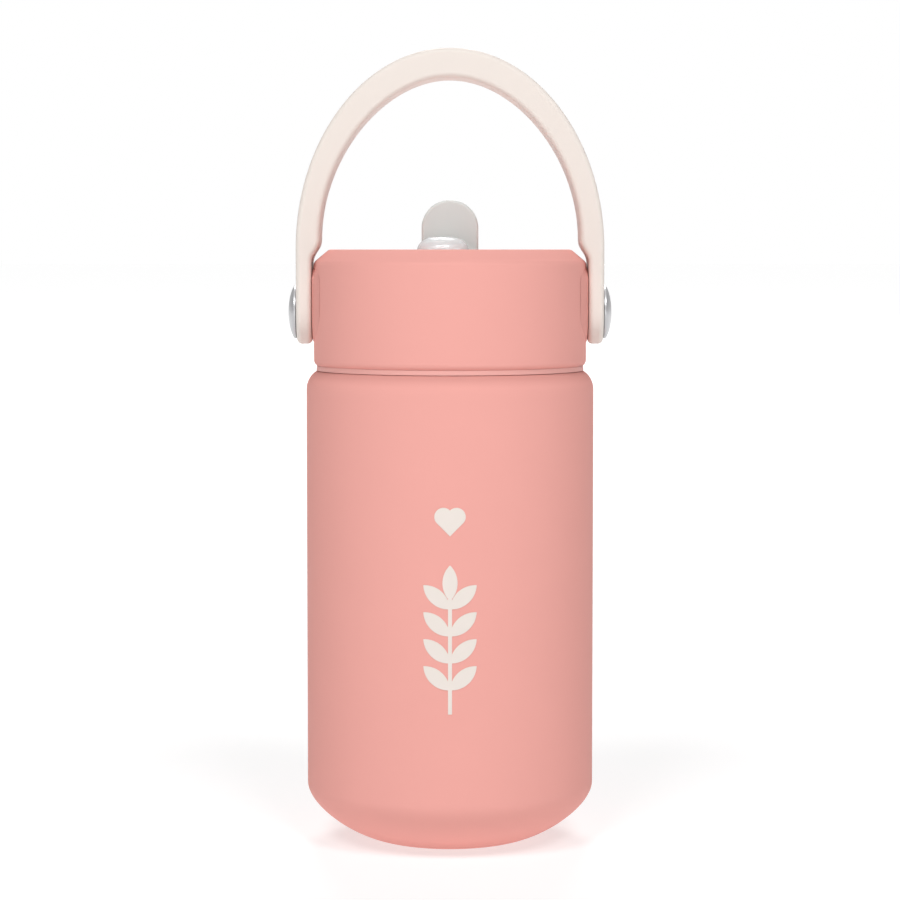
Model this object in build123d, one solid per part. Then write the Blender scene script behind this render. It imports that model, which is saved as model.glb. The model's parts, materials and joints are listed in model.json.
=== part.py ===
"""A toddler's insulated drinks bottle: screw lid, flip cover over a soft mouthpiece, and carry handle.

Millimetres. +Z is up and the origin is the centre of the base, on the surface the bottle stands on.
The front of the bottle faces -Y, and the handle swings about an axis along X.
"""

import math
import os

from build123d import *

# ---------------------------------------------------------------- driving dimensions

# Bottle body: a double-walled steel flask
BODY_R = 37.5
SHOULDER_Z = 123.9
SHOULDER_RADIUS = 5.5
HEEL_HEIGHT = 15.0
FOOT_R = 16.0  # outer edge of the flat ring it stands on
FOOT_INNER_R = 14.0
STEEL = 0.6
HEEL_EASE = 0.4  # how far each Bezier handle of the heel reaches, as a share of its side

# Bottom of the outer wall, with the dimple and port that the flask is evacuated through
BOTTOM_Z = 2.0
BOTTOM_RAMP = 0.8
DIMPLE_R = 5.0
DIMPLE_DEPTH = 0.9
PORT_R = 1.2
PLATE_R = FOOT_INNER_R - 0.7

NECK_R = 26.8
NECK_ROOT = 1.0  # fillet of the weld where the neck meets the shoulder
NECK_TOP_Z = 139.7
RIM_THICKNESS = 0.6

LINER_R = 33.7
LINER_FLOOR_Z = 7.0
LINER_FLOOR_R = 14.0
LINER_HEEL_HEIGHT = 15.0
LINER_NECK_R = 25.7
LINER_SHOULDER_Z = 119.9
LINER_SHOULDER_RADIUS = 5.0

# Thread between neck and lid: three starts, right-handed
THREAD_STARTS = 3
THREAD_PITCH = 4.5
THREAD_LEAD = THREAD_STARTS * THREAD_PITCH
THREAD_HEIGHT = 1.1
THREAD_BASE = 1.9
THREAD_CREST = 0.8
THREAD_EMBED = 0.2
THREAD_RISE = 7.0  # height that each ridge climbs
NECK_THREAD_Z = 128.5
THREAD_CLEARANCE = 0.35

# Lid
LID_R = 35.55
LID_BOTTOM_Z = 124.3
LID_TOP_Z = 154.7
LID_WALL = 2.0
LID_TOP_THICKNESS = 2.2
LID_BEVEL_R = 4.0
LID_BEVEL_Z = 3.35
LID_BEVEL_ROUND = 1.6
LID_CORNER_R = 1.7  # round of the lid's lower edge
SLEEVE_BOTTOM_Z = 125.3
LID_DISC_Z = 141.5
LID_DISC_TOP_Z = 143.7
SLEEVE_R = NECK_R + THREAD_HEIGHT + THREAD_CLEARANCE
SLEEVE_OUTER_R = 30.6
SEAM_GAP = 0.3  # between the ring under the lid's edge and the bottle's shoulder
SEAM_RING_R = 34.5
SEAM_RING_INNER_R = 31.6

# Trough in the lid's top that the flip cover folds into
TROUGH_FLOOR_Z = 145.3
TROUGH_HALF_WIDTH = 8.9
TROUGH_BACK_Y = 12.9
TROUGH_FRONT_Y = 0.5  # centre of the round front end
TROUGH_WALL = 1.6
TROUGH_EDGE_RADIUS = 0.5
SCOOP_R = 14.0
SCOOP_Y = -10.0
SCOOP_DEPTH = 4.5

# Flip cover, open and upright
COVER_HINGE_Y = 9.7
COVER_HINGE_Z = 151.5
COVER_LENGTH = 16.3
COVER_HALF_WIDTH = 7.5
COVER_OUTER = 2.7  # hinge axis to the outer face
COVER_INNER = 0.2  # hinge axis to the inner face
COVER_KNUCKLE_R = 2.2
COVER_KNUCKLE_HALF_WIDTH = 8.5
COVER_PIN_R = 0.8
COVER_PIN_HALF_LENGTH = 10.1

# Mouthpiece and straw, on the bottle's axis
SPOUT_R = 6.9
SPOUT_TOP_Z = 158.1
SPOUT_WALL = 1.4
STEM_R = 4.3
STEM_BORE_R = STEM_R + 0.1
STEM_BOTTOM_Z = 131.3
STRAW_R = 3.5
STRAW_BORE_R = 2.7
STRAW_TOP_Z = 139.3
STRAW_BOTTOM_Z = 9.6
VENT_Y = 10.9
VENT_STEM_R = 1.6
VENT_FLANGE_R = 3.0

# Handle and its pivots
PIVOT_Z = 138.4
BOSS_X = 35.65
BOSS_R = 6.5
HANDLE_INNER_X = 35.9
HANDLE_OUTER_X = 39.9
HANDLE_HALF_WIDTH = 8.3
HANDLE_CROWN_Z = 206.5
HANDLE_CROWN_THICKNESS = 7.6
HANDLE_SPRING_Z = LID_TOP_Z  # where the outer face of the arms turns into the arch
HANDLE_LEAN_Z = LID_TOP_Z - 3.6  # the inner face leans in from here
HANDLE_INNER_SPRING_Z = LID_TOP_Z + 2.6  # and meets the arch here
HANDLE_INNER_SPRING_X = 33.65
HANDLE_EDGE_RADIUS = 1.3
ARCH_OUTER_FULLNESS = 0.55  # Bezier handles of the arch; 0.552 would be an ellipse
ARCH_INNER_FULLNESS = 0.512
BUSH_R = 3.5
BUSH_OUTER_X = 40.05
SCREW_R = 2.0
SCREW_HEAD_R = 6.1
SCREW_HEAD_THICKNESS = 0.9
CAP_R = 6.9
CAP_TOP_X = 42.15
CAP_SHEET = 0.5
INSERT_R = 3.0
INSERT_INNER_X = 31.2
INSERT_WALL = 1.2  # plastic round each insert
RUNNING_GAP = 0.05

# Printed motif, a thin film on the front of the body
FILM_THICKNESS = 0.12
FILM_GAP = 0.01
SPRIG_BOTTOM_Z = 38.4
SPRIG_TOP_Z = 77.0
SPRIG_LEAF_PAIRS = 4
LEAF_LENGTH = 9.0
LEAF_WIDTH = 3.8
LEAF_LEAN_DEG = 42.0
STEM_WIDTH = 1.0
HEART_Z = 86.5
HEART_R = 2.3


# ---------------------------------------------------------------- helpers


def turned(*edges):
    """Solid of revolution about Z from edges drawn as (radius, height), closed by a straight edge."""
    wire = Wire(list(edges))
    if not wire.is_closed:
        wire = Wire([*edges, Line(wire @ 1, wire @ 0)])
    return revolve(Plane.XZ * make_face(wire), Axis.Z)


def turned_polygon(*points):
    """Solid of revolution about Z with straight sides."""
    return revolve(Plane.XZ * make_face(Polyline(*points, close=True)), Axis.Z)


def heel_curve(foot_r, foot_z, side_r, side_z):
    """Soft quarter curve from the flat foot up to the straight side wall."""
    reach_r = HEEL_EASE * (side_r - foot_r)
    reach_z = HEEL_EASE * (side_z - foot_z)
    return Bezier(
        (foot_r, foot_z),
        (foot_r + reach_r, foot_z),
        (side_r, side_z - reach_z),
        (side_r, side_z),
    )


def along_x(radius, x_from, x_to, y=0.0, z=PIVOT_Z):
    """Cylinder along X between two x positions."""
    middle = (x_from + x_to) / 2
    return Pos(middle, y, z) * Rot(0, 90, 0) * Cylinder(radius, abs(x_to - x_from))


def upright(radius, z_from, z_to, x=0.0, y=0.0):
    """Cylinder along Z between two heights."""
    return Pos(x, y, (z_from + z_to) / 2) * Cylinder(radius, z_to - z_from)


def thread_ridges(root_r, inward, z_start, phase_deg=0.0):
    """The ridges of a multi-start right-hand thread, standing out of (or into) a wall of radius root_r."""
    side = -1 if inward else 1
    turns = THREAD_RISE / THREAD_LEAD
    foot_r = root_r - side * THREAD_EMBED
    crest_r = root_r + side * THREAD_HEIGHT
    path = Pos(0, 0, z_start) * Helix(THREAD_LEAD, turns * THREAD_LEAD, root_r)
    section = Plane.XZ * make_face(
        Polyline(
            (foot_r, z_start - THREAD_BASE / 2),
            (crest_r, z_start - THREAD_CREST / 2),
            (crest_r, z_start + THREAD_CREST / 2),
            (foot_r, z_start + THREAD_BASE / 2),
            close=True,
        )
    )
    ridge = sweep(section, path=path, is_frenet=True)
    return [Rot(0, 0, phase_deg + 360 * i / THREAD_STARTS) * ridge for i in range(THREAD_STARTS)]


def mirrored_pair(make):
    """The same part on the right (+X) and left (-X) side, as (suffix, shape) pairs."""
    right = make()
    return [("right", right), ("left", mirror(right, about=Plane.YZ))]


# ---------------------------------------------------------------- bottle body


def outer_shell():
    """Powder-coated outer wall: heel, side and shoulder, open at the bottom and at the neck."""
    inner_r = BODY_R - STEEL
    shoulder_r = BODY_R - SHOULDER_RADIUS
    under_z = SHOULDER_Z - STEEL
    turn_z = SHOULDER_Z - SHOULDER_RADIUS
    return turned(
        Line((FOOT_INNER_R, 0), (FOOT_R, 0)),
        heel_curve(FOOT_R, 0, BODY_R, HEEL_HEIGHT),
        Line((BODY_R, HEEL_HEIGHT), (BODY_R, turn_z)),
        RadiusArc((BODY_R, turn_z), (shoulder_r, SHOULDER_Z), -SHOULDER_RADIUS),
        Line((shoulder_r, SHOULDER_Z), (NECK_R, SHOULDER_Z)),
        Line((NECK_R, SHOULDER_Z), (NECK_R, under_z)),
        Line((NECK_R, under_z), (shoulder_r, under_z)),
        RadiusArc((shoulder_r, under_z), (inner_r, turn_z), SHOULDER_RADIUS - STEEL),
        Line((inner_r, turn_z), (inner_r, HEEL_HEIGHT)),
        heel_curve(FOOT_R, STEEL, inner_r, HEEL_HEIGHT),
        Line((FOOT_R, STEEL), (FOOT_INNER_R, STEEL)),
    )


def neck_ring():
    """Bare steel neck welded into the shoulder, with the threads that the lid screws onto."""
    inner_r = NECK_R - STEEL
    foot_z = SHOULDER_Z - STEEL
    weld_z = NECK_TOP_Z - RIM_THICKNESS
    ring = turned(
        Line((inner_r, foot_z), (NECK_R, foot_z)),
        Line((NECK_R, foot_z), (NECK_R, SHOULDER_Z)),
        Line((NECK_R, SHOULDER_Z), (NECK_R + NECK_ROOT, SHOULDER_Z)),
        RadiusArc((NECK_R + NECK_ROOT, SHOULDER_Z), (NECK_R, SHOULDER_Z + NECK_ROOT), NECK_ROOT),
        Line((NECK_R, SHOULDER_Z + NECK_ROOT), (NECK_R, weld_z)),
        Line((NECK_R, weld_z), (inner_r, weld_z)),
    )
    for ridge in thread_ridges(NECK_R, False, NECK_THREAD_Z):
        ring += ridge
    return ring


def inner_liner():
    """Inner vessel: floor, side and shoulder, open at the neck."""
    r_in = LINER_R - STEEL
    floor_in = LINER_FLOOR_Z + STEEL
    side_z = LINER_FLOOR_Z + LINER_HEEL_HEIGHT
    turn_z = LINER_SHOULDER_Z - LINER_SHOULDER_RADIUS
    turn_r = LINER_R - LINER_SHOULDER_RADIUS
    under_z = LINER_SHOULDER_Z - STEEL
    return turned(
        Line((0, LINER_FLOOR_Z), (LINER_FLOOR_R, LINER_FLOOR_Z)),
        heel_curve(LINER_FLOOR_R, LINER_FLOOR_Z, LINER_R, side_z),
        Line((LINER_R, side_z), (LINER_R, turn_z)),
        RadiusArc((LINER_R, turn_z), (turn_r, LINER_SHOULDER_Z), -LINER_SHOULDER_RADIUS),
        Line((turn_r, LINER_SHOULDER_Z), (LINER_NECK_R, LINER_SHOULDER_Z)),
        Line((LINER_NECK_R, LINER_SHOULDER_Z), (LINER_NECK_R, under_z)),
        Line((LINER_NECK_R, under_z), (turn_r, under_z)),
        RadiusArc((turn_r, under_z), (r_in, turn_z), LINER_SHOULDER_RADIUS - STEEL),
        Line((r_in, turn_z), (r_in, side_z)),
        heel_curve(LINER_FLOOR_R, floor_in, r_in, side_z),
        Line((LINER_FLOOR_R, floor_in), (0, floor_in)),
    )


def mouth_collar():
    """Collar welded to the vessel, with the rolled rim that closes the vacuum gap at the mouth."""
    inner_r = LINER_NECK_R - STEEL
    foot_z = LINER_SHOULDER_Z - STEEL
    rim_z = NECK_TOP_Z - RIM_THICKNESS
    rim_round = 0.4
    return turned(
        Line((inner_r, foot_z), (LINER_NECK_R, foot_z)),
        Line((LINER_NECK_R, foot_z), (LINER_NECK_R, rim_z)),
        Line((LINER_NECK_R, rim_z), (NECK_R, rim_z)),
        Line((NECK_R, rim_z), (NECK_R, NECK_TOP_Z - rim_round)),
        RadiusArc((NECK_R, NECK_TOP_Z - rim_round), (NECK_R - rim_round, NECK_TOP_Z), -rim_round),
        Line((NECK_R - rim_round, NECK_TOP_Z), (inner_r + rim_round, NECK_TOP_Z)),
        RadiusArc((inner_r + rim_round, NECK_TOP_Z), (inner_r, NECK_TOP_Z - rim_round), -rim_round),
        Line((inner_r, NECK_TOP_Z - rim_round), (inner_r, foot_z)),
    )


def outer_bottom():
    """Welded bottom of the outer wall, with the dimple and port that the flask is evacuated through."""
    flange_r = FOOT_INNER_R + 1.0
    lap = 0.3
    dimple_z = BOTTOM_Z + DIMPLE_DEPTH
    return turned_polygon(
        (PORT_R, dimple_z),
        (DIMPLE_R, dimple_z),
        (DIMPLE_R + BOTTOM_RAMP, BOTTOM_Z),
        (FOOT_INNER_R - BOTTOM_RAMP, BOTTOM_Z),
        (FOOT_INNER_R, STEEL),
        (flange_r, STEEL),
        (flange_r, 2 * STEEL),
        (FOOT_INNER_R + lap, 2 * STEEL),
        (FOOT_INNER_R - BOTTOM_RAMP + lap, BOTTOM_Z + STEEL),
        (DIMPLE_R + BOTTOM_RAMP + lap, BOTTOM_Z + STEEL),
        (DIMPLE_R + lap, dimple_z + STEEL),
        (PORT_R, dimple_z + STEEL),
    )


def vacuum_seal():
    """Glass solder bead that plugs the evacuation port from below."""
    bead_r = 2.6
    bead_z = BOTTOM_Z + DIMPLE_DEPTH
    low_z = bead_z - 0.7
    return turned(
        Line((0, bead_z + STEEL), (PORT_R, bead_z + STEEL)),
        Line((PORT_R, bead_z + STEEL), (PORT_R, bead_z)),
        Line((PORT_R, bead_z), (bead_r, bead_z)),
        Bezier((bead_r, bead_z), (0.9 * bead_r, low_z + 0.1), (0.5 * bead_r, low_z), (0, low_z)),
    )


def getter():
    """Gas-absorbing pellet in its clip, on the outer bottom inside the vacuum."""
    pellet_r = 3.0
    pellet_height = 1.8
    edge = 0.4
    pellet_z = BOTTOM_Z + STEEL
    pellet = upright(pellet_r, pellet_z, pellet_z + pellet_height, x=(DIMPLE_R + FOOT_INNER_R) / 2)
    return fillet(pellet.edges().filter_by(GeomType.CIRCLE), edge)


def base_plate():
    """Bare steel disc welded into the recess under the base, with a dished rim."""
    sheet = 0.5
    plate_z = BOTTOM_Z - sheet
    rim_z = 0.8
    flat_r = PLATE_R - 2.2
    slope_r = flat_r + 0.7
    lap = 0.2
    return turned_polygon(
        (0, plate_z),
        (flat_r, plate_z),
        (slope_r, rim_z),
        (PLATE_R, rim_z),
        (PLATE_R, rim_z + sheet),
        (slope_r + lap, rim_z + sheet),
        (flat_r + lap, BOTTOM_Z),
        (0, BOTTOM_Z),
    )


def leaf(length, width):
    """Pointed leaf lying along +X from the origin, as a flat face."""
    sagitta = width / 2
    return make_face(
        [
            SagittaArc((0, 0), (length, 0), -sagitta),
            SagittaArc((length, 0), (0, 0), -sagitta),
        ]
    )


def heart(radius):
    """Plain heart about its centre, as a flat face."""
    reach = radius * math.sqrt(0.5)
    side = 2 * radius
    square = Rot(0, 0, 45) * Rectangle(side, side)
    lobes = [Pos(s * reach, reach) * Circle(radius) for s in (-1, 1)]
    return square + lobes[0] + lobes[1]


def decal_film():
    """Generic sprig and heart, cut from thin film and laid on the front of the body."""
    stem_length = SPRIG_TOP_Z - SPRIG_BOTTOM_Z - LEAF_LENGTH
    art = Pos(0, SPRIG_BOTTOM_Z + stem_length / 2) * Rectangle(STEM_WIDTH, stem_length)
    art += Pos(0, SPRIG_BOTTOM_Z + stem_length - STEM_WIDTH) * Rot(0, 0, 90) * leaf(LEAF_LENGTH, LEAF_WIDTH)
    spacing = stem_length / (SPRIG_LEAF_PAIRS + 0.35)
    for i in range(SPRIG_LEAF_PAIRS):
        height = SPRIG_BOTTOM_Z + spacing * (i + 0.9)
        for angle in (LEAF_LEAN_DEG, 180 - LEAF_LEAN_DEG):
            art += Pos(0, height) * Rot(0, 0, angle) * leaf(LEAF_LENGTH, LEAF_WIDTH)
    art += Pos(0, HEART_Z) * heart(HEART_R)
    prism = extrude(Plane.XZ.offset(BODY_R - 6) * art, amount=10)
    inner = BODY_R + FILM_GAP
    middle_z = (SPRIG_BOTTOM_Z + HEART_Z) / 2
    film = Pos(0, 0, middle_z) * (Cylinder(inner + FILM_THICKNESS, 80) - Cylinder(inner, 80))
    return prism & film


# ---------------------------------------------------------------- lid


def trough_outline(grow=0.0):
    """Plan of the trough, or of its walls when grown: square at the hinge end, round at the front."""
    half = TROUGH_HALF_WIDTH + grow
    back = TROUGH_BACK_Y + grow
    box = Pos(0, (TROUGH_FRONT_Y + back) / 2) * Rectangle(2 * half, back - TROUGH_FRONT_Y)
    return box + Pos(0, TROUGH_FRONT_Y) * Circle(half)


def lid_shell():
    """Outer moulding of the lid: side wall, bevelled top, trough, finger scoop and pivot bosses."""
    inner_r = LID_R - LID_WALL
    under_z = LID_TOP_Z - LID_TOP_THICKNESS
    bevel_z = LID_TOP_Z - LID_BEVEL_Z
    top_r = LID_R - LID_BEVEL_R
    section = make_face(
        Polyline(
            (inner_r, LID_BOTTOM_Z),
            (LID_R, LID_BOTTOM_Z),
            (LID_R, bevel_z),
            (top_r, LID_TOP_Z),
            (0, LID_TOP_Z),
            (0, under_z),
            (top_r - 0.8, under_z),
            (inner_r, bevel_z - 1.1),
            close=True,
        )
    )
    section = fillet(section.vertices().sort_by_distance((LID_R, bevel_z))[0], LID_BEVEL_ROUND)
    section = fillet(section.vertices().sort_by_distance((top_r, LID_TOP_Z))[0], LID_BEVEL_ROUND)
    section = fillet(section.vertices().sort_by_distance((LID_R, LID_BOTTOM_Z))[0], LID_CORNER_R)
    shell = revolve(Plane.XZ * section, Axis.Z)

    scoop_z = LID_TOP_Z + SCOOP_R - SCOOP_DEPTH
    bowl = Pos(0, SCOOP_Y, scoop_z) * Sphere(SCOOP_R + TROUGH_WALL)
    shell += bowl & upright(top_r, LID_DISC_TOP_Z, LID_TOP_Z)
    trough_block = Plane.XY.offset(LID_DISC_TOP_Z) * trough_outline(TROUGH_WALL)
    shell += extrude(trough_block, amount=under_z + 1 - LID_DISC_TOP_Z)
    block_width = 2 * (COVER_PIN_HALF_LENGTH + 1.4)
    block_depth = 2 * COVER_KNUCKLE_R + 1.8
    block_height = COVER_KNUCKLE_R + 2.4
    shell += Pos(0, COVER_HINGE_Y, COVER_HINGE_Z - 0.6) * Box(block_width, block_depth, block_height)
    for side in (-1, 1):
        shell += along_x(BOSS_R, side * (inner_r + 0.2), side * BOSS_X)
        shell += along_x(INSERT_R + INSERT_WALL, side * (INSERT_INNER_X - 0.3), side * inner_r)

    trough_depth = LID_TOP_Z - TROUGH_FLOOR_Z
    shell -= extrude(Plane.XY.offset(TROUGH_FLOOR_Z) * trough_outline(), amount=trough_depth + 1)
    shell -= Pos(0, SCOOP_Y, scoop_z) * Sphere(SCOOP_R)
    shell -= along_x(COVER_PIN_R, -COVER_PIN_HALF_LENGTH, COVER_PIN_HALF_LENGTH, COVER_HINGE_Y, COVER_HINGE_Z)
    shell -= upright(STEM_BORE_R, LID_DISC_TOP_Z - 1, TROUGH_FLOOR_Z + 1)
    shell -= upright(VENT_STEM_R / 2, LID_DISC_TOP_Z - 1, TROUGH_FLOOR_Z + 1, y=VENT_Y)
    for side in (-1, 1):
        shell -= along_x(INSERT_R, side * INSERT_INNER_X, side * (BOSS_X + 1))
    rim = [e for e in shell.edges() if abs(e.center().Z - LID_TOP_Z) < 0.01 and abs(e.center().Y) < 20]
    return fillet(rim, TROUGH_EDGE_RADIUS)


def lid_inner():
    """Inner disc of the lid, with the lip inside the seal and the collar round the stem."""
    collar_z = STEM_BOTTOM_Z + 1.5
    collar_r = STEM_R + 1.7
    flange_r = LID_R - LID_WALL - 0.1
    lip_r = 23.4
    lip_wall = 0.8
    lip_z = NECK_TOP_Z + 0.5
    inner = turned_polygon(
        (STEM_BORE_R, collar_z),
        (collar_r, collar_z),
        (collar_r, LID_DISC_Z),
        (lip_r, LID_DISC_Z),
        (lip_r, lip_z),
        (lip_r + lip_wall, lip_z),
        (lip_r + lip_wall, LID_DISC_Z),
        (flange_r, LID_DISC_Z),
        (flange_r, LID_DISC_TOP_Z),
        (STEM_BORE_R, LID_DISC_TOP_Z),
    )
    inner -= upright(VENT_STEM_R, LID_DISC_Z - 1, LID_DISC_TOP_Z + 1, y=VENT_Y)
    for side in (-1, 1):
        inner -= along_x(INSERT_R + INSERT_WALL + 0.3, side * (INSERT_INNER_X - 0.5), side * (flange_r + 1))
    return inner


def thread_sleeve():
    """Sleeve welded under the disc, with the lid's threads inside it."""
    sleeve = turned_polygon(
        (SLEEVE_R, SLEEVE_BOTTOM_Z),
        (SLEEVE_OUTER_R, SLEEVE_BOTTOM_Z),
        (SLEEVE_OUTER_R, LID_DISC_Z),
        (SLEEVE_R, LID_DISC_Z),
    )
    for ridge in thread_ridges(SLEEVE_R, True, NECK_THREAD_Z, 180 / THREAD_STARTS):
        sleeve += ridge
    return sleeve


def seam_ring():
    """Pale soft ring under the lid's edge, whose underside follows the bottle's shoulder."""
    turn_r = BODY_R - SHOULDER_RADIUS
    over_r = SHOULDER_RADIUS + SEAM_GAP
    over_z = SHOULDER_Z + SEAM_GAP
    drop = over_r - math.sqrt(over_r**2 - (SEAM_RING_R - turn_r) ** 2)
    edge = 0.25
    return turned(
        Line((SEAM_RING_INNER_R, LID_BOTTOM_Z), (SEAM_RING_INNER_R, over_z)),
        Line((SEAM_RING_INNER_R, over_z), (turn_r, over_z)),
        RadiusArc((turn_r, over_z), (SEAM_RING_R, over_z - drop), over_r),
        Line((SEAM_RING_R, over_z - drop), (SEAM_RING_R, LID_BOTTOM_Z - edge)),
        RadiusArc((SEAM_RING_R, LID_BOTTOM_Z - edge), (SEAM_RING_R - edge, LID_BOTTOM_Z), -edge),
        Line((SEAM_RING_R - edge, LID_BOTTOM_Z), (SEAM_RING_INNER_R, LID_BOTTOM_Z)),
    )


def lid_seal():
    """Silicone ring in the lid that seals on the rim of the mouth."""
    inner_r = 24.5
    outer_r = SLEEVE_R - 0.3
    low_z = NECK_TOP_Z + 0.05
    high_z = LID_DISC_Z - 0.05
    ring = turned_polygon((inner_r, low_z), (outer_r, low_z), (outer_r, high_z), (inner_r, high_z))
    return fillet(ring.edges().filter_by(GeomType.CIRCLE), 0.4)


def mouthpiece():
    """Soft clear spout with its foot in the trough, and the stem that takes the straw below the lid."""
    shoulder_z = SPOUT_TOP_Z - 4.4
    waist_z = TROUGH_FLOOR_Z + 5.0
    swell_z = TROUGH_FLOOR_Z + 5.6
    dome_rise = SPOUT_TOP_Z - shoulder_z
    neck_r = SPOUT_R - 0.7
    foot_top = TROUGH_FLOOR_Z + 1.3
    mouth_r = 1.9
    outer = turned(
        Line((0, STEM_BOTTOM_Z), (STEM_R, STEM_BOTTOM_Z)),
        Line((STEM_R, STEM_BOTTOM_Z), (STEM_R, TROUGH_FLOOR_Z)),
        Line((STEM_R, TROUGH_FLOOR_Z), (SPOUT_R + 0.4, TROUGH_FLOOR_Z)),
        Line((SPOUT_R + 0.4, TROUGH_FLOOR_Z), (SPOUT_R + 0.4, foot_top)),
        Line((SPOUT_R + 0.4, foot_top), (neck_r, foot_top + 0.6)),
        Bezier((neck_r, foot_top + 0.6), (neck_r, waist_z), (SPOUT_R, swell_z), (SPOUT_R, shoulder_z)),
        Bezier(
            (SPOUT_R, shoulder_z),
            (SPOUT_R, shoulder_z + 0.62 * dome_rise),
            (0.66 * SPOUT_R, SPOUT_TOP_Z),
            (0, SPOUT_TOP_Z),
        ),
        Line((0, SPOUT_TOP_Z), (0, STEM_BOTTOM_Z)),
    )
    cavity_r = SPOUT_R - SPOUT_WALL
    roof_z = SPOUT_TOP_Z - SPOUT_WALL
    bore_top = foot_top + 0.8
    cavity = turned(
        Line((0, STRAW_TOP_Z), (STRAW_BORE_R, STRAW_TOP_Z)),
        Line((STRAW_BORE_R, STRAW_TOP_Z), (STRAW_BORE_R, bore_top)),
        Line((STRAW_BORE_R, bore_top), (neck_r - SPOUT_WALL, bore_top + 1.2)),
        Line((neck_r - SPOUT_WALL, bore_top + 1.2), (cavity_r, shoulder_z)),
        Bezier(
            (cavity_r, shoulder_z),
            (cavity_r, shoulder_z + 0.62 * (roof_z - shoulder_z)),
            (0.66 * cavity_r, roof_z),
            (0, roof_z),
        ),
        Line((0, roof_z), (0, STRAW_TOP_Z)),
    )
    part = outer - cavity
    part -= upright(STRAW_R, STEM_BOTTOM_Z - 1, STRAW_TOP_Z)
    part -= upright(mouth_r, roof_z - 1, SPOUT_TOP_Z + 1)
    return part


def straw():
    """Straight tube pushed up into the mouthpiece's stem, ending just above the vessel's floor."""
    tube = upright(STRAW_R, STRAW_BOTTOM_Z, STRAW_TOP_Z)
    return tube - upright(STRAW_BORE_R, STRAW_BOTTOM_Z - 1, STRAW_TOP_Z + 1)


def vent_valve():
    """Silicone duckbill in the disc that lets air in as the child drinks."""
    flange_z = LID_DISC_Z - 1.0
    bill_length = 3.0
    bill_r = 1.7
    tip_half_thickness = 0.45
    bore_r = 0.6
    plug = upright(VENT_FLANGE_R, flange_z, LID_DISC_Z, y=VENT_Y)
    plug += upright(VENT_STEM_R, LID_DISC_Z, LID_DISC_TOP_Z, y=VENT_Y)
    plug += loft(
        [
            Pos(0, VENT_Y, flange_z) * Rot(180, 0, 0) * Circle(bill_r),
            Pos(0, VENT_Y, flange_z - bill_length) * Rot(180, 0, 0) * Ellipse(bill_r, tip_half_thickness),
        ]
    )
    return plug - upright(bore_r, flange_z - bill_length / 2, LID_DISC_TOP_Z + 1, y=VENT_Y)


def flip_cover():
    """Flat cover with a round tip, upright on its knuckle."""
    tip_centre_z = COVER_HINGE_Z + COVER_LENGTH - COVER_HALF_WIDTH
    body = Pos(0, (COVER_HINGE_Z + tip_centre_z) / 2) * Rectangle(
        2 * COVER_HALF_WIDTH, tip_centre_z - COVER_HINGE_Z
    )
    outline = body + Pos(0, tip_centre_z) * Circle(COVER_HALF_WIDTH)
    back_y = COVER_HINGE_Y + COVER_OUTER
    plate = extrude(Plane.XZ.offset(-back_y) * outline, amount=COVER_OUTER + COVER_INNER)
    rims = [e for e in plate.edges() if e.center().Z > COVER_HINGE_Z + 0.5 and e.bounding_box().size.Y < 0.01]
    plate = fillet(rims, 0.8)
    half = COVER_KNUCKLE_HALF_WIDTH
    cover = plate + along_x(COVER_KNUCKLE_R, -half, half, COVER_HINGE_Y, COVER_HINGE_Z)
    bore_r = COVER_PIN_R + RUNNING_GAP
    return cover - along_x(bore_r, -half - 1, half + 1, COVER_HINGE_Y, COVER_HINGE_Z)


def cover_pin():
    """Steel pin that the cover turns on, held in the trough's walls."""
    return along_x(COVER_PIN_R, -COVER_PIN_HALF_LENGTH, COVER_PIN_HALF_LENGTH, COVER_HINGE_Y, COVER_HINGE_Z)


# ---------------------------------------------------------------- handle


def handle_front_outline():
    """The handle seen from the front, right half."""
    inner_crown_z = HANDLE_CROWN_Z - HANDLE_CROWN_THICKNESS
    outer_rise = HANDLE_CROWN_Z - HANDLE_SPRING_Z
    inner_rise = inner_crown_z - HANDLE_INNER_SPRING_Z
    end_z = PIVOT_Z - HANDLE_HALF_WIDTH - 1
    lean = 0.45 * (HANDLE_INNER_SPRING_Z - HANDLE_LEAN_Z)
    return make_face(
        [
            Bezier(
                (0, HANDLE_CROWN_Z),
                (ARCH_OUTER_FULLNESS * HANDLE_OUTER_X, HANDLE_CROWN_Z),
                (HANDLE_OUTER_X, HANDLE_SPRING_Z + ARCH_OUTER_FULLNESS * outer_rise),
                (HANDLE_OUTER_X, HANDLE_SPRING_Z),
            ),
            Line((HANDLE_OUTER_X, HANDLE_SPRING_Z), (HANDLE_OUTER_X, end_z)),
            Line((HANDLE_OUTER_X, end_z), (HANDLE_INNER_X, end_z)),
            Line((HANDLE_INNER_X, end_z), (HANDLE_INNER_X, HANDLE_LEAN_Z)),
            Bezier(
                (HANDLE_INNER_X, HANDLE_LEAN_Z),
                (HANDLE_INNER_X, HANDLE_LEAN_Z + lean),
                (HANDLE_INNER_SPRING_X, HANDLE_INNER_SPRING_Z - lean),
                (HANDLE_INNER_SPRING_X, HANDLE_INNER_SPRING_Z),
            ),
            Bezier(
                (HANDLE_INNER_SPRING_X, HANDLE_INNER_SPRING_Z),
                (HANDLE_INNER_SPRING_X, HANDLE_INNER_SPRING_Z + ARCH_INNER_FULLNESS * inner_rise),
                (ARCH_INNER_FULLNESS * HANDLE_INNER_SPRING_X, inner_crown_z),
                (0, inner_crown_z),
            ),
            Line((0, inner_crown_z), (0, HANDLE_CROWN_Z)),
        ]
    )


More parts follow.
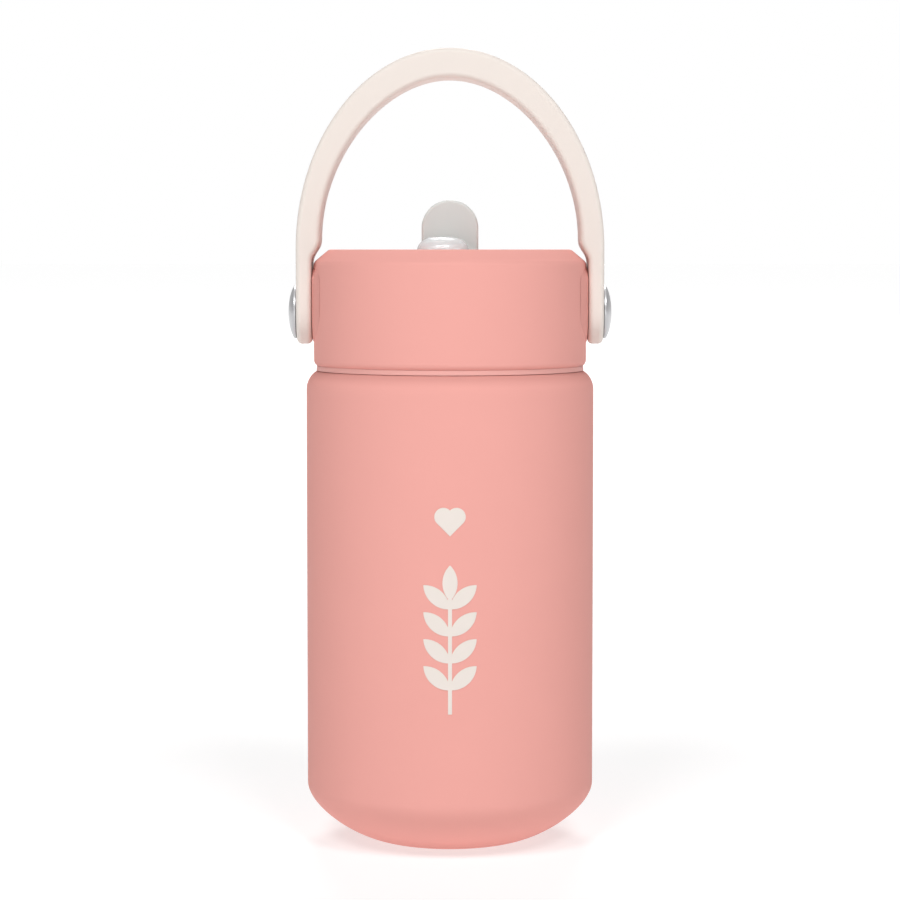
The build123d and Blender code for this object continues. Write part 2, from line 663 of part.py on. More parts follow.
def handle():
    """Moulded carry handle: an arch with straight arms and round ends about the pivots."""
    width = 2 * HANDLE_HALF_WIDTH
    half = extrude(Plane.XZ.offset(-HANDLE_HALF_WIDTH) * handle_front_outline(), amount=width)
    side = Pos(0, (PIVOT_Z + HANDLE_CROWN_Z + 1) / 2) * Rectangle(width, HANDLE_CROWN_Z + 1 - PIVOT_Z)
    side += Pos(0, PIVOT_Z) * Circle(HANDLE_HALF_WIDTH)
    half &= extrude(Plane.YZ.offset(-1) * side, amount=HANDLE_OUTER_X + 2)

    def is_cross_edge(edge):
        centre = edge.center()
        return abs(centre.Y) < HANDLE_HALF_WIDTH - 0.01 and centre.Z > PIVOT_Z

    long_edges = [e for e in half.edges() if abs(e.center().X) > 0.01 and not is_cross_edge(e)]
    half = fillet(long_edges, HANDLE_EDGE_RADIUS)
    half -= along_x(BUSH_R + RUNNING_GAP, HANDLE_INNER_X - 2, HANDLE_OUTER_X + 2)
    return half + mirror(half, about=Plane.YZ)


def pivot_bush():
    """Nylon sleeve that the handle turns on, clamped between the boss and the screw's head."""
    bore = along_x(SCREW_R + RUNNING_GAP, BOSS_X - 1, BUSH_OUTER_X + 1)
    return along_x(BUSH_R, BOSS_X, BUSH_OUTER_X) - bore


def handle_screw():
    """Flat-headed screw with a cross recess, under the cap."""
    head_x = BUSH_OUTER_X + SCREW_HEAD_THICKNESS
    screw = along_x(SCREW_R, INSERT_INNER_X + 0.3, BUSH_OUTER_X)
    screw += along_x(SCREW_HEAD_R, BUSH_OUTER_X, head_x)
    for size in ((1.2, 1.1, 4.6), (1.2, 4.6, 1.1)):
        screw -= Pos(head_x, 0, PIVOT_Z) * Box(*size)
    return screw


def thread_insert():
    """Knurled brass insert moulded into the boss."""
    insert = along_x(INSERT_R, INSERT_INNER_X, BOSS_X - 0.2)
    for x in (INSERT_INNER_X + 1.3, INSERT_INNER_X + 3.0):
        insert -= along_x(INSERT_R + 1, x - 0.3, x + 0.3) - along_x(INSERT_R - 0.4, x - 1, x + 1)
    return insert - along_x(SCREW_R, INSERT_INNER_X - 1, BOSS_X + 1)


def pivot_cap():
    """Domed steel cap snapped over the screw's head."""
    rim_x = BUSH_OUTER_X + 0.05
    inner_r = SCREW_HEAD_R + 0.05
    flat_x = BUSH_OUTER_X + SCREW_HEAD_THICKNESS + 0.1
    edge_x = rim_x + 0.35
    dome = Bezier((CAP_R, edge_x), (CAP_R, edge_x + 0.5), (0.62 * CAP_R, CAP_TOP_X), (0, CAP_TOP_X))
    cap = turned(
        Line((inner_r, rim_x), (CAP_R, rim_x)),
        Line((CAP_R, rim_x), (CAP_R, edge_x)),
        dome,
        Line((0, CAP_TOP_X), (0, CAP_TOP_X - CAP_SHEET)),
        Line((0, CAP_TOP_X - CAP_SHEET), (0.5 * CAP_R, CAP_TOP_X - CAP_SHEET - 0.15)),
        Line((0.5 * CAP_R, CAP_TOP_X - CAP_SHEET - 0.15), (inner_r, flat_x)),
        Line((inner_r, flat_x), (inner_r, rim_x)),
    )
    return Pos(0, 0, PIVOT_Z) * Rot(0, 90, 0) * cap


# ---------------------------------------------------------------- export


def all_parts():
    """Every node's name and shape."""
    parts = {
        "outer_shell": outer_shell(),
        "neck_ring": neck_ring(),
        "inner_liner": inner_liner(),
        "mouth_collar": mouth_collar(),
        "outer_bottom": outer_bottom(),
        "vacuum_seal": vacuum_seal(),
        "getter": getter(),
        "base_plate": base_plate(),
        "decal_film": decal_film(),
        "lid_shell": lid_shell(),
        "lid_inner": lid_inner(),
        "thread_sleeve": thread_sleeve(),
        "seam_ring": seam_ring(),
        "lid_seal": lid_seal(),
        "mouthpiece": mouthpiece(),
        "straw": straw(),
        "vent_valve": vent_valve(),
        "flip_cover": flip_cover(),
        "cover_pin": cover_pin(),
        "handle": handle(),
    }
    sided = {
        "pivot_bush": pivot_bush,
        "handle_screw": handle_screw,
        "thread_insert": thread_insert,
        "pivot_cap": pivot_cap,
    }
    for name, make in sided.items():
        for side, shape in mirrored_pair(make):
            parts[f"{name}_{side}"] = shape
    return parts


def main():
    """Writes one STEP file for each node."""
    os.makedirs("parts", exist_ok=True)
    for name, shape in all_parts().items():
        export_step(shape, f"parts/{name}.step")


main()
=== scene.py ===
import json
import math

import bmesh
import bpy
from mathutils import Matrix, Vector


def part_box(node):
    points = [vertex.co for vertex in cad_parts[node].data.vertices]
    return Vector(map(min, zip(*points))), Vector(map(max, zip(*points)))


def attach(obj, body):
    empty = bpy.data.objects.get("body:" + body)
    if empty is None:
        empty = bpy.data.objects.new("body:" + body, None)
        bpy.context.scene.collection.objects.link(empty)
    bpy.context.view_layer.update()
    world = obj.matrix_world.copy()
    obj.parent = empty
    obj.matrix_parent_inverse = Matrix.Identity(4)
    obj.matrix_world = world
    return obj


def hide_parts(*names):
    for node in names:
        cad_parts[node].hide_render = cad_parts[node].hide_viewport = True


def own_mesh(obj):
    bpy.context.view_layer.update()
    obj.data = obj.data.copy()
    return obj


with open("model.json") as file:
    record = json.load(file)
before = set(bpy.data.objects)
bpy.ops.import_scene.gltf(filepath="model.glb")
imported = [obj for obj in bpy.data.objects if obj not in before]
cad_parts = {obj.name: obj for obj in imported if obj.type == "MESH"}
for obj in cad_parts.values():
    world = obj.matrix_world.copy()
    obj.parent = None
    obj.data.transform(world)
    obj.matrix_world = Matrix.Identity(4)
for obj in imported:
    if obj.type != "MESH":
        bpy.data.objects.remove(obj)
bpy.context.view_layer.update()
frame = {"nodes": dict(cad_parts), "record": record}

# ---------------------------------------------------------------- sizes, in metres

MM = 0.001
SEGMENTS = 192  # round the bottle's axis
STEM_SEGMENTS = 96
SHARP_DEG = 40  # edges sharper than this stay crisp under smooth shading

lid_low, lid_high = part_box("lid_shell")
spout_low, spout_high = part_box("mouthpiece")
cap_low, cap_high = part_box("pivot_cap_right")
plate_low, plate_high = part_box("base_plate")
seal_low, seal_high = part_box("lid_seal")
shell_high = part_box("outer_shell")[1]
handle_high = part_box("handle")[1]
straw_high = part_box("straw")[1]
seam_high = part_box("seam_ring")[1]

BODY_R = shell_high.x
LID_TOP_Z = lid_high.z
PIVOT_Z = (cap_low.z + cap_high.z) / 2
ARM_HALF_WIDTH = handle_high.y
joints = {joint["name"]: joint for joint in frame["record"]["behaviour"]["joints"]}
TROUGH_FLOOR_Z = joints["cover_flip"]["deforming_nodes"][0]["fixed_end_z_m"]

SHOULDER_Z = shell_high.z
SHOULDER_RADIUS = 5.5 * MM
LID_CORNER_R = 1.7 * MM
BORE_R = 2.7 * MM  # of the straw and of the stem above it
MOUTH_R = 0.8 * MM
SPOUT_LEAN = 1.85 * MM
SPOUT_LIP_R = 1.7 * MM
SPOUT_WALL = 1.4 * MM
SPOUT_STEM_R = 4.3 * MM

# ---------------------------------------------------------------- camera, floor and light

CAMERA_DISTANCE = 20 * BODY_R
CAMERA_LENS_MM = 114.7
CAMERA_PITCH_DEG = 4.0
FLOOR_RADIUS = 30
FLOOR_GLOW = (0.58, 0.9)  # near the bottle and far off
FLOOR_GLOW_REACH = (8 * BODY_R, 90 * BODY_R)
SURROUND_FILL = 0.03
OVERHEAD_FILL = 0.2
HORIZON_GLOSS = 0.6
OVERHEAD_GLOSS = 1.0
OVERHEAD_RISE = (0.4, 0.95)  # sine of the elevation where the surround starts and ends its change
SOFT_BOXES = (  # name, azimuth and elevation in degrees, distance, size, watts
    ("high_left", -25, 48, 4.8, 1.6, 96),
    ("high_right", 25, 48, 4.8, 1.6, 92),
    ("low_front", 0, 4, 1.9, 0.8, 1.8),
    ("behind", 180, 40, 4.8, 1.6, 90),
)


def make_camera():
    """Level with the lid's top and tipped down a little, so that the lid's top is seen edge-on."""
    data = bpy.data.cameras.new("camera")
    data.lens = CAMERA_LENS_MM
    data.sensor_width = 36
    data.clip_end = 100
    camera = bpy.data.objects.new("camera", data)
    camera.location = (0, -CAMERA_DISTANCE, LID_TOP_Z)
    camera.rotation_euler = (math.radians(90 - CAMERA_PITCH_DEG), 0, 0)
    bpy.context.scene.collection.objects.link(camera)
    bpy.context.scene.camera = camera


def soft_box(name, azimuth_deg, elevation_deg, distance, size, power):
    """A square softbox aimed at the bottle's middle; azimuth 0 is in front and 90 on the right."""
    aim = Vector((0, 0, LID_TOP_Z * 0.7))
    azimuth, elevation = math.radians(azimuth_deg), math.radians(elevation_deg)
    away = Vector(
        (
            math.sin(azimuth) * math.cos(elevation),
            -math.cos(azimuth) * math.cos(elevation),
            math.sin(elevation),
        )
    )
    data = bpy.data.lights.new(name, "AREA")
    data.shape = "SQUARE"
    data.size = size
    data.energy = power
    light = bpy.data.objects.new(name, data)
    light.location = aim + distance * away
    light.rotation_euler = away.to_track_quat("Z", "Y").to_euler()
    bpy.context.scene.collection.objects.link(light)


def make_floor():
    """Pale floor that runs to the horizon, with a glow that grows from near the bottle to far off."""
    mesh = bpy.data.meshes.new("floor")
    shape = bmesh.new()
    bmesh.ops.create_circle(shape, cap_ends=True, segments=96, radius=FLOOR_RADIUS)
    shape.to_mesh(mesh)
    shape.free()
    floor = bpy.data.objects.new("floor", mesh)
    bpy.context.scene.collection.objects.link(floor)
    material, nodes, links, shader = new_material("floor", (0.5, 0.5, 0.5), roughness=0.9)
    shader.inputs["Specular IOR Level"].default_value = 0.1
    shader.inputs["Emission Color"].default_value = (1, 1, 1, 1)
    place = nodes.new("ShaderNodeTexCoord")
    distance = nodes.new("ShaderNodeVectorMath")
    distance.operation = "LENGTH"
    glow = nodes.new("ShaderNodeMapRange")
    glow.inputs["From Min"].default_value, glow.inputs["From Max"].default_value = FLOOR_GLOW_REACH
    glow.inputs["To Min"].default_value, glow.inputs["To Max"].default_value = FLOOR_GLOW
    links.new(place.outputs["Object"], distance.inputs[0])
    links.new(distance.outputs["Value"], glow.inputs["Value"])
    links.new(glow.outputs["Result"], shader.inputs["Emission Strength"])
    mesh.materials.append(material)


def make_surround():
    """White surround, bright in reflections but dim as a light except overhead, so that the sides fall off."""
    world = bpy.data.worlds.new("surround")
    bpy.context.scene.world = world
    world.use_nodes = True
    nodes, links = world.node_tree.nodes, world.node_tree.links
    place = nodes.new("ShaderNodeTexCoord")
    direction = nodes.new("ShaderNodeSeparateXYZ")
    links.new(place.outputs["Generated"], direction.inputs["Vector"])
    rays = nodes.new("ShaderNodeLightPath")

    def by_height(at_horizon, overhead):
        ramp = nodes.new("ShaderNodeMapRange")
        ramp.interpolation_type = "SMOOTHSTEP"
        ramp.inputs["From Min"].default_value, ramp.inputs["From Max"].default_value = OVERHEAD_RISE
        ramp.inputs["To Min"].default_value = at_horizon
        ramp.inputs["To Max"].default_value = overhead
        links.new(direction.outputs["Z"], ramp.inputs["Value"])
        return ramp.outputs["Result"]

    strength = by_height(SURROUND_FILL, OVERHEAD_FILL)
    gloss = by_height(HORIZON_GLOSS, OVERHEAD_GLOSS)
    for ray in ("Is Glossy Ray", "Is Transmission Ray", "Is Camera Ray"):
        choice = nodes.new("ShaderNodeMix")
        choice.inputs["B"].default_value = 1
        links.new(rays.outputs[ray], choice.inputs["Factor"])
        links.new(strength, choice.inputs["A"])
        if ray == "Is Glossy Ray":
            links.new(gloss, choice.inputs["B"])
        strength = choice.outputs["Result"]
    background = nodes["Background"]
    background.inputs["Color"].default_value = (1, 1, 1, 1)
    links.new(strength, background.inputs["Strength"])


def make_lights():
    """Two broad soft lights high in front, a weak low one, and one behind for the views of the back."""
    for name, azimuth, elevation, distance, size, power in SOFT_BOXES:
        soft_box(name, azimuth, elevation, distance, size, power)


# ---------------------------------------------------------------- materials

PINK = (0.838, 0.394, 0.351)
CREAM = (0.805, 0.735, 0.682)
COVER_GREY = (0.65, 0.69, 0.675)


def new_material(name, colour, roughness=0.5, metallic=0.0):
    """A Principled material and the handles needed to add to it."""
    material = bpy.data.materials.new(name)
    material.use_nodes = True
    nodes, links = material.node_tree.nodes, material.node_tree.links
    shader = nodes["Principled BSDF"]
    shader.inputs["Base Color"].default_value = (*colour, 1)
    shader.inputs["Roughness"].default_value = roughness
    shader.inputs["Metallic"].default_value = metallic
    return material, nodes, links, shader


def object_noise(nodes, links, scale, detail=2.0, stretch=(1, 1, 1)):
    """Noise in the piece's own metres, scale in features per metre."""
    place = nodes.new("ShaderNodeTexCoord")
    mapping = nodes.new("ShaderNodeMapping")
    mapping.inputs["Scale"].default_value = stretch
    noise = nodes.new("ShaderNodeTexNoise")
    noise.inputs["Scale"].default_value = scale
    noise.inputs["Detail"].default_value = detail
    links.new(place.outputs["Object"], mapping.inputs["Vector"])
    links.new(mapping.outputs["Vector"], noise.inputs["Vector"])
    return noise


def add_bump(nodes, links, shader, height, depth, strength):
    """Bump of depth metres from a height output."""
    bump = nodes.new("ShaderNodeBump")
    bump.inputs["Strength"].default_value = strength
    bump.inputs["Distance"].default_value = depth
    links.new(height, bump.inputs["Height"])
    links.new(bump.outputs["Normal"], shader.inputs["Normal"])


def vary(nodes, links, shader, socket, source, low, high):
    """Drives a shader socket from a 0 to 1 source, between two values or two colours."""
    if isinstance(low, tuple):
        mix = nodes.new("ShaderNodeMix")
        mix.data_type = "RGBA"
        mix.inputs["A"].default_value = (*low, 1)
        mix.inputs["B"].default_value = (*high, 1)
        links.new(source, mix.inputs["Factor"])
        links.new(mix.outputs["Result"], shader.inputs[socket])
    else:
        spread = nodes.new("ShaderNodeMapRange")
        spread.inputs["From Min"].default_value = 0.3
        spread.inputs["From Max"].default_value = 0.7
        spread.inputs["To Min"].default_value = low
        spread.inputs["To Max"].default_value = high
        links.new(source, spread.inputs["Value"])
        links.new(spread.outputs["Result"], shader.inputs[socket])


def shade(colour, factor):
    """The colour made lighter or darker."""
    return tuple(min(1.0, c * factor) for c in colour)


def paint_shade_upwards(nodes, links, shader, start_z, end_z, colour):
    """Paints shade into the base colour: runs it into a darker one between two heights, as the shade under an
    overhang.
    """
    place = nodes.new("ShaderNodeTexCoord")
    position = nodes.new("ShaderNodeSeparateXYZ")
    ramp = nodes.new("ShaderNodeMapRange")
    ramp.interpolation_type = "SMOOTHSTEP"
    ramp.inputs["From Min"].default_value = start_z
    ramp.inputs["From Max"].default_value = end_z
    mix = nodes.new("ShaderNodeMix")
    mix.data_type = "RGBA"
    mix.inputs["B"].default_value = (*colour, 1)
    base = shader.inputs["Base Color"].links[0].from_socket
    links.new(place.outputs["Object"], position.inputs["Vector"])
    links.new(position.outputs["Z"], ramp.inputs["Value"])
    links.new(ramp.outputs["Result"], mix.inputs["Factor"])
    links.new(base, mix.inputs["A"])
    links.new(mix.outputs["Result"], shader.inputs["Base Color"])


def powder_coat():
    """Matte powder paint: a fine orange peel, with the colour almost even, and painted shade on the shoulder just
    under the lid.
    """
    material, nodes, links, shader = new_material("powder_coat", PINK, 0.55)
    shader.inputs["Specular IOR Level"].default_value = 0.02
    cloud = object_noise(nodes, links, 60, 3)
    vary(nodes, links, shader, "Base Color", cloud.outputs["Fac"], shade(PINK, 0.985), shade(PINK, 1.015))
    # painted shade: the shoulder runs darker upwards into the lid's edge, standing in for the shadow under the
    # lid
    paint_shade_upwards(nodes, links, shader, SHOULDER_Z - 4.0 * MM, SHOULDER_Z - 0.6 * MM, shade(PINK, 0.82))
    peel = object_noise(nodes, links, 1400, 2)
    vary(nodes, links, shader, "Roughness", cloud.outputs["Fac"], 0.5, 0.58)
    add_bump(nodes, links, shader, peel.outputs["Fac"], 0.03 * MM, 0.6)
    return material


def moulded_plastic(name, colour, roughness, specular=0.16):
    """Moulded plastic with a fine spark-eroded grain."""
    material, nodes, links, shader = new_material(name, colour, roughness)
    shader.inputs["Specular IOR Level"].default_value = specular
    cloud = object_noise(nodes, links, 45, 2)
    vary(nodes, links, shader, "Base Color", cloud.outputs["Fac"], shade(colour, 0.99), shade(colour, 1.01))
    vary(nodes, links, shader, "Roughness", cloud.outputs["Fac"], roughness - 0.04, roughness + 0.04)
    grain = object_noise(nodes, links, 900, 2)
    add_bump(nodes, links, shader, grain.outputs["Fac"], 0.02 * MM, 0.6)
    return material


def turned_steel(name, colour=(0.62, 0.61, 0.59), roughness=0.3, stretch=(1, 1, 60)):
    """Stainless steel with fine turning lines round the axis."""
    material, nodes, links, shader = new_material(name, colour, roughness, 1.0)
    lines = object_noise(nodes, links, 60, 4, stretch)
    vary(nodes, links, shader, "Roughness", lines.outputs["Fac"], roughness - 0.06, roughness + 0.08)
    add_bump(nodes, links, shader, lines.outputs["Fac"], 0.01 * MM, 0.4)
    return material


def clear_plastic(name, colour, roughness, ior, transmission):
    """Clear silicone or plastic."""
    material, nodes, links, shader = new_material(name, colour, roughness)
    shader.inputs["IOR"].default_value = ior
    shader.inputs["Transmission Weight"].default_value = transmission
    haze = object_noise(nodes, links, 300, 2)
    vary(nodes, links, shader, "Roughness", haze.outputs["Fac"], roughness - 0.02, roughness + 0.05)
    add_bump(nodes, links, shader, haze.outputs["Fac"], 0.01 * MM, 0.2)
    return material


def paint_nodes():
    """Gives every CAD node its material, and returns the materials by node."""
    steel = turned_steel("vessel_steel")
    silicone = clear_plastic("clear_silicone", (0.95, 0.99, 1.0), 0.08, 1.41, 0.36)
    pin_steel = turned_steel("pin_steel", (0.6, 0.6, 0.6), 0.35)
    seal = moulded_plastic("seal_silicone", (0.8, 0.82, 0.82), 0.45)
    inner = moulded_plastic("inner_plastic", (0.85, 0.84, 0.81), 0.4)
    nylon = moulded_plastic("bush_nylon", (0.86, 0.85, 0.81), 0.5)
    brass = turned_steel("insert_brass", (0.78, 0.58, 0.27), 0.3)
    dome = turned_steel("cap_steel", (0.54, 0.54, 0.55), 0.3, (1, 1, 1))
    seam = moulded_plastic("seam_silicone", (0.81, 0.42, 0.38), 0.5)
    lid = moulded_plastic("lid_plastic", PINK, 0.5, 0.02)
    looks = {
        "outer_shell": powder_coat(),
        "neck_ring": steel,
        "inner_liner": steel,
        "mouth_collar": steel,
        "outer_bottom": steel,
        "base_plate": steel,
        "vacuum_seal": moulded_plastic("solder_glass", (0.12, 0.13, 0.15), 0.3),
        "getter": turned_steel("getter_metal", (0.4, 0.4, 0.41), 0.6),
        "decal_film": moulded_plastic("cream_print", CREAM, 0.6),
        "lid_shell": lid,
        "lid_inner": inner,
        "thread_sleeve": inner,
        "seam_ring": seam,
        "lid_seal": seal,
        "vent_valve": seal,
        "mouthpiece": silicone,
        "straw": clear_plastic("straw_plastic", (0.93, 0.95, 0.96), 0.1, 1.49, 0.85),
        "flip_cover": moulded_plastic("cover_plastic", COVER_GREY, 0.35),
        "cover_pin": pin_steel,
        "handle": moulded_plastic("handle_plastic", CREAM, 0.5),
    }
    for side in ("left", "right"):
        looks["pivot_bush_" + side] = nylon
        looks["handle_screw_" + side] = pin_steel
        looks["thread_insert_" + side] = brass
        looks["pivot_cap_" + side] = dome
    for node, material in looks.items():
        mesh = frame["nodes"][node].data
        mesh.materials.clear()
        mesh.materials.append(material)
    return looks


# ---------------------------------------------------------------- mesh helpers


def bezier(start, pull, push, end, steps=12):
    """Points of a cubic curve, with the start but without the end."""
    points = []
    for i in range(steps):
        t = i / steps
        weights = ((1 - t) ** 3, 3 * (1 - t) ** 2 * t, 3 * (1 - t) * t**2, t**3)
        points.append(tuple(sum(w * p[k] for w, p in zip(weights, (start, pull, push, end))) for k in (0, 1)))
    return points


def rounded(corners, steps=5):
    """Closed outline from (radius, height, rounding) corners, with an arc in place of each rounded corner."""
    points = []
    for i, (r, z, rounding) in enumerate(corners):
        corner = Vector((r, z))
        if not rounding:
            points.append((r, z))
            continue
        back = (Vector(corners[i - 1][:2]) - corner).normalized()
        ahead = (Vector(corners[(i + 1) % len(corners)][:2]) - corner).normalized()
        half = back.angle(ahead) / 2
        centre = corner + (back + ahead).normalized() * rounding / math.sin(half)
        first = corner + back * rounding / math.tan(half) - centre
        last = corner + ahead * rounding / math.tan(half) - centre
        turn = first.angle_signed(last)
        for k in range(steps + 1):
            spoke = first.copy()
            spoke.rotate(Matrix.Rotation(-turn * k / steps, 2))
            points.append(tuple(centre + spoke))
    return points


def lathe(name, outline, segments=SEGMENTS):
    """Closed solid of revolution about Z from a closed outline of (radius, height) points in metres."""
    shape = bmesh.new()
    rings = []
    for r, z in outline:
        if r < 1e-7:
            rings.append([shape.verts.new((0, 0, z))] * segments)
        else:
            angles = (2 * math.pi * k / segments for k in range(segments))
            rings.append([shape.verts.new((r * math.cos(a), r * math.sin(a), z)) for a in angles])
    for lower, upper in zip(rings, rings[1:] + rings[:1]):
        for k in range(segments):
            around = (lower[k], lower[k - 1], upper[k - 1], upper[k])
            corners = list(dict.fromkeys(around))
            if len(corners) > 2:
                shape.faces.new(corners)
    bmesh.ops.recalc_face_normals(shape, faces=shape.faces)
    return as_object(name, shape)


def slab(name, outline, levels):
    """Convex outline of (x, y) points, anticlockwise, built up in Z through levels of (inset, height)."""
    shape = bmesh.new()
    rings = []
    for inset, z in levels:
        ring = []
        for i, point in enumerate(outline):
            along = Vector(outline[(i + 1) % len(outline)]) - Vector(outline[i - 1])
            inward = Vector((-along.y, along.x)).normalized()
            ring.append(shape.verts.new((*(Vector(point) + inset * inward), z)))
        rings.append(ring)
    for lower, upper in zip(rings, rings[1:]):
        for i in range(len(outline)):
            shape.faces.new((lower[i - 1], lower[i], upper[i], upper[i - 1]))
    shape.faces.new(rings[0][::-1])
    shape.faces.new(rings[-1])
    return as_object(name, shape)


def as_object(name, shape):
    """Smooth-shaded object from a bmesh, with its sharp edges kept."""
    mesh = bpy.data.meshes.new(name)
    shape.to_mesh(mesh)
    shape.free()
    mesh.polygons.foreach_set("use_smooth", [True] * len(mesh.polygons))
    mesh.set_sharp_from_angle(angle=math.radians(SHARP_DEG))
    piece = bpy.data.objects.new(name, mesh)
    bpy.context.scene.collection.objects.link(piece)
    return piece


def fit_out(piece, body, slot, material, *nodes):
    """Puts a finished piece on its body, with its material and the CAD nodes that it stands for; the slot
    argument is not used.
    """
    piece.data.materials.append(material)
    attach(piece, body)
    if nodes:
        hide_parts(*nodes)


# ---------------------------------------------------------------- pieces


def make_spout(material):
    """Soft spout with a foot, a waist and a blunt dome that leans a little to the left, and the stem below it."""
    floor_z = TROUGH_FLOOR_Z
    top_z = spout_high.z
    foot_r = spout_high.x
    dome_r = foot_r - 0.4 * MM
    waist_r = dome_r - 0.8 * MM
    shoulder_z = top_z - 4.4 * MM
    waist_z = floor_z + 2.0 * MM
    mouth_z = top_z - 1.0 * MM
    foot_z = floor_z + 1.3 * MM
    outside = rounded([(BORE_R, floor_z, 0), (foot_r, floor_z, 0), (foot_r, foot_z, 0.45 * MM)])[:-1]
    outside += bezier(
        (foot_r - 0.5 * MM, foot_z),
        (waist_r + 0.3 * MM, floor_z + 1.4 * MM),
        (waist_r, waist_z - 0.4 * MM),
        (waist_r, waist_z),
    )
    outside += bezier(
        (waist_r, waist_z),
        (waist_r, waist_z + 3 * MM),
        (dome_r, shoulder_z - 3 * MM),
        (dome_r, shoulder_z),
        16,
    )
    outside += bezier(
        (dome_r, shoulder_z),
        (dome_r, shoulder_z + 3.1 * MM),
        (SPOUT_LIP_R + 2.9 * MM, top_z),
        (SPOUT_LIP_R, top_z),
        20,
    )
    mouth = bezier((SPOUT_LIP_R, top_z), (1.3 * MM, top_z), (1.25 * MM, mouth_z), (MOUTH_R, mouth_z), 10)
    roof_z = mouth_z - SPOUT_WALL
    hollow_r = dome_r - SPOUT_WALL
    inside = [(MOUTH_R, mouth_z), (MOUTH_R, roof_z)]
    inside += bezier(
        (MOUTH_R + 0.2 * MM, roof_z),
        (4.6 * MM, roof_z),
        (hollow_r, roof_z - 0.6 * MM),
        (hollow_r, shoulder_z - 0.6 * MM),
        14,
    )
    inside += bezier(
        (hollow_r, shoulder_z - 0.6 * MM),
        (hollow_r, shoulder_z - 4 * MM),
        (BORE_R, waist_z + 4 * MM),
        (BORE_R, waist_z),
        14,
    )
    dome = lathe("spout_dome", outside + mouth + inside)
    lean_from_floor(dome.data, floor_z, LID_TOP_Z - floor_z)
    fit_out(dome, "lid", "clear_silicone", material, "mouthpiece")
    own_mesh(dome)

    stem = lathe(
        "spout_stem",
        rounded(
            [
                (BORE_R, floor_z, 0),
                (BORE_R, straw_high.z, 0),
                (straw_high.x, straw_high.z, 0),
                (straw_high.x, spout_low.z, 0.2 * MM),
                (SPOUT_STEM_R, spout_low.z, 0.3 * MM),
                (SPOUT_STEM_R, floor_z, 0),
            ]
        ),
        STEM_SEGMENTS,
    )
    fit_out(stem, "lid", "clear_silicone", material, "mouthpiece")


def lean_from_floor(mesh, floor_z, height):
    """Shifts the points towards -X, from none at floor_z to SPOUT_LEAN at height above it and beyond."""
    for vertex in mesh.vertices:
        share = min(1.0, max(0.0, (vertex.co.z - floor_z) / height))
        vertex.co.x -= SPOUT_LEAN * share * share * (3 - 2 * share)


def make_seam_ring(material):
    """Soft ring that fills the notch under the lid's rounded edge, just clear of the body's shoulder."""
    outer_r = seam_high.x + 0.4 * MM
    inner_r = seam_high.x - 2.9 * MM
    edge_centre = (lid_high.x - LID_CORNER_R, lid_low.z + LID_CORNER_R)
    shoulder_centre = (BODY_R - SHOULDER_RADIUS, SHOULDER_Z - SHOULDER_RADIUS)
    gap = 0.2 * MM

    def arc(centre, radius, sign, start_r, end_r):
        steps = 14
        spread = [start_r + (end_r - start_r) * k / steps for k in range(steps + 1)]
        return [(r, centre[1] + sign * math.sqrt(radius**2 - (r - centre[0]) ** 2)) for r in spread]

    outline = [(inner_r, lid_low.z)]
    outline += arc(edge_centre, LID_CORNER_R, -1, edge_centre[0], outer_r - 0.1 * MM)
    outline += arc(shoulder_centre, SHOULDER_RADIUS + gap, 1, outer_r, inner_r)
    ring = lathe("seam_ring_soft", outline)
    fit_out(ring, "lid", "seal_silicone", material, "seam_ring")


def make_arm_lands(material):
    """Low lands on the lid's sides, under the arms at rest, that swell softly out of the round wall."""
    core = ARM_HALF_WIDTH - 0.9 * MM
    reach = 11.5 * MM  # no farther from the pivot, as the arms lean in higher up
    corner = math.acos(core / reach)
    arcs = [(core, math.pi + math.pi * k / 40) for k in range(41)]
    arcs += [(reach, corner + (math.pi - 2 * corner) * k / 30) for k in range(31)]
    outline = [(r * math.cos(a), PIVOT_Z + r * math.sin(a)) for r, a in arcs]
    face_x = lid_high.x + 0.15 * MM
    slope, flank = 0.5, 4.4 * MM  # of the sides, and how far these reach out
    ease = 0.5 * MM  # rounding between the face and the sides
    top_z = LID_TOP_Z - 4.1 * MM  # keeps the sides below the lid's bevel
    levels = [(-flank, face_x - slope * flank)]
    for k in range(9):
        spread = ease * (1 - k / 4)
        levels.append((-spread, face_x - slope * (spread + ease) ** 2 / (4 * ease)))
    for side, name in ((-1, "arm_land_left"), (1, "arm_land_right")):
        land = slab(name, outline, levels)
        for vertex in land.data.vertices:
            vertex.co.y = min(vertex.co.y, top_z)
        land.data.transform(Matrix(((0, 0, side, 0), (1, 0, 0, 0), (0, 1, 0, 0), (0, 0, 0, 1))))
        if side < 0:
            land.data.flip_normals()
        fit_out(land, "lid", "lid_plastic", material)


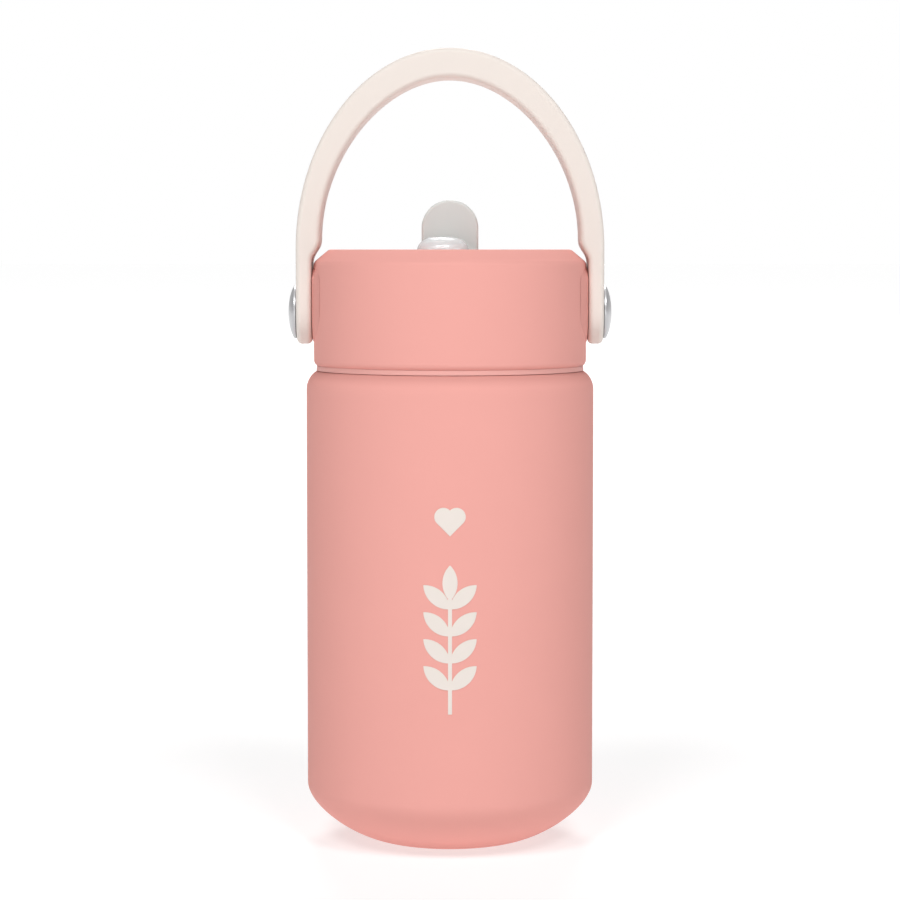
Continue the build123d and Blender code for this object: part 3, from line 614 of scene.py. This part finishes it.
def make_base_disc(material):
    """Turned steel disc under the base: a dished rim and two shallow stamped rings."""
    outer_r = plate_high.x
    low, high = plate_low.z, plate_high.z
    sheet = 0.5 * MM
    flat_z = high - sheet
    stamp = 0.22 * MM
    groove_width = 0.9 * MM
    corners = [(0, flat_z, 0)]
    for groove_r in (0.3 * outer_r, 0.58 * outer_r):
        corners += [
            (groove_r, flat_z, 0.15 * MM),
            (groove_r + stamp, flat_z + stamp, 0.15 * MM),
            (groove_r + groove_width, flat_z + stamp, 0.15 * MM),
            (groove_r + groove_width + stamp, flat_z, 0.15 * MM),
        ]
    corners += [
        (outer_r - 2.2 * MM, flat_z, 0.3 * MM),
        (outer_r - 1.5 * MM, low, 0.3 * MM),
        (outer_r, low, 0.15 * MM),
        (outer_r, low + sheet, 0.15 * MM),
        (outer_r - 1.3 * MM, low + sheet, 0.2 * MM),
        (outer_r - 2.0 * MM, high, 0.3 * MM),
        (0, high, 0),
    ]
    disc = lathe("base_disc", rounded(corners))
    fit_out(disc, "bottle", "vessel_steel", material, "base_plate")


def make_seal(material):
    """Silicone seal with a raised lip on its underside, where it presses on the rim of the mouth."""
    outer_r = seal_high.x
    inner_r = outer_r - 3.45 * MM
    middle_r = (outer_r + inner_r) / 2
    low, high = seal_low.z, seal_high.z
    lip = 0.35 * MM
    seal = lathe(
        "seal_ring_lip",
        rounded(
            [
                (inner_r, low + lip, 0.3 * MM),
                (middle_r - 0.9 * MM, low + lip, 0.2 * MM),
                (middle_r - 0.5 * MM, low, 0.15 * MM),
                (middle_r + 0.5 * MM, low, 0.15 * MM),
                (middle_r + 0.9 * MM, low + lip, 0.2 * MM),
                (outer_r, low + lip, 0.3 * MM),
                (outer_r, high, 0.3 * MM),
                (inner_r, high, 0.3 * MM),
            ]
        ),
    )
    fit_out(seal, "seal_ring", "seal_silicone", material, "lid_seal")


make_camera()
make_floor()
make_surround()
make_lights()
looks = paint_nodes()
make_spout(looks["mouthpiece"])
# painted shade: the lands take a darker copy of the lid's pink, so the lid's sides under the arms read darker
make_arm_lands(moulded_plastic("land_plastic_painted_shade", shade(PINK, 0.9), 0.5, 0.02))
make_base_disc(looks["base_plate"])
make_seal(looks["lid_seal"])
make_seam_ring(looks["seam_ring"])
bpy.context.scene.view_settings.view_transform = "Standard"
